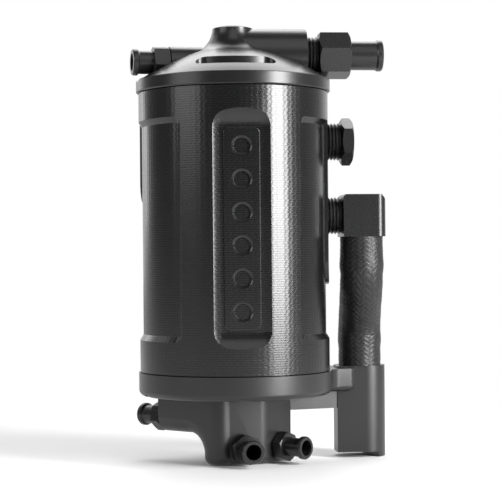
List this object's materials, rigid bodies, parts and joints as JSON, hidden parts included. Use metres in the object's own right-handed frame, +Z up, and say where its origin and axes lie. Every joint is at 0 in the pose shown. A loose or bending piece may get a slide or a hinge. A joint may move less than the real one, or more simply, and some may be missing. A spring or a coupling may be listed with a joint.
{
  "type": "oil catch can",
  "caption": "Round billet oil catch can with a domed lid, barbed outlet and vent, ported base with a side post, and a braided return hose.",
  "frame": {"origin": "on the can's axis, in the plane that the port block stands on", "axes": "+Z up along the can's axis, -Y out of the dimpled front panel, +X towards the plug, the elbow and the lid's outlet"},
  "size_m": [0.14, 0.104, 0.2343],
  "materials": {
    "can_black": "satin black anodised, fine turning marks",
    "base_black": "satin black anodised, milled",
    "fitting_black": "satin black anodised, turned",
    "hose_braid": "black woven braid over rubber",
    "seal_rubber": "smooth matt",
    "bare_plate": "bare, lightly brushed",
    "steel_mesh": "knitted wire",
    "spring_steel": "phosphated",
    "black_screws": "black oxide",
    "zinc_screws": "zinc plated"
  },
  "bodies": {
    "root": {"can_body": "can_black", "lid": "can_black", "base_manifold": "base_black", "outlet_fitting": "fitting_black", "vent_fitting": "fitting_black", "side_plug": "fitting_black", "elbow_fitting": "fitting_black", "transfer_hose": "hose_braid", "post_barb": "fitting_black", "front_fitting": "fitting_black", "right_fitting": "fitting_black", "left_fitting": "fitting_black", "lid_seal": "seal_rubber", "base_seal": "seal_rubber", "lower_baffle": "bare_plate", "mesh_pack": "steel_mesh", "upper_baffle": "bare_plate", "retaining_ring": "spring_steel", "slosh_baffle": "bare_plate", "slosh_screws": "zinc_screws", "base_screws": "black_screws"}
  },
  "joints": []
}
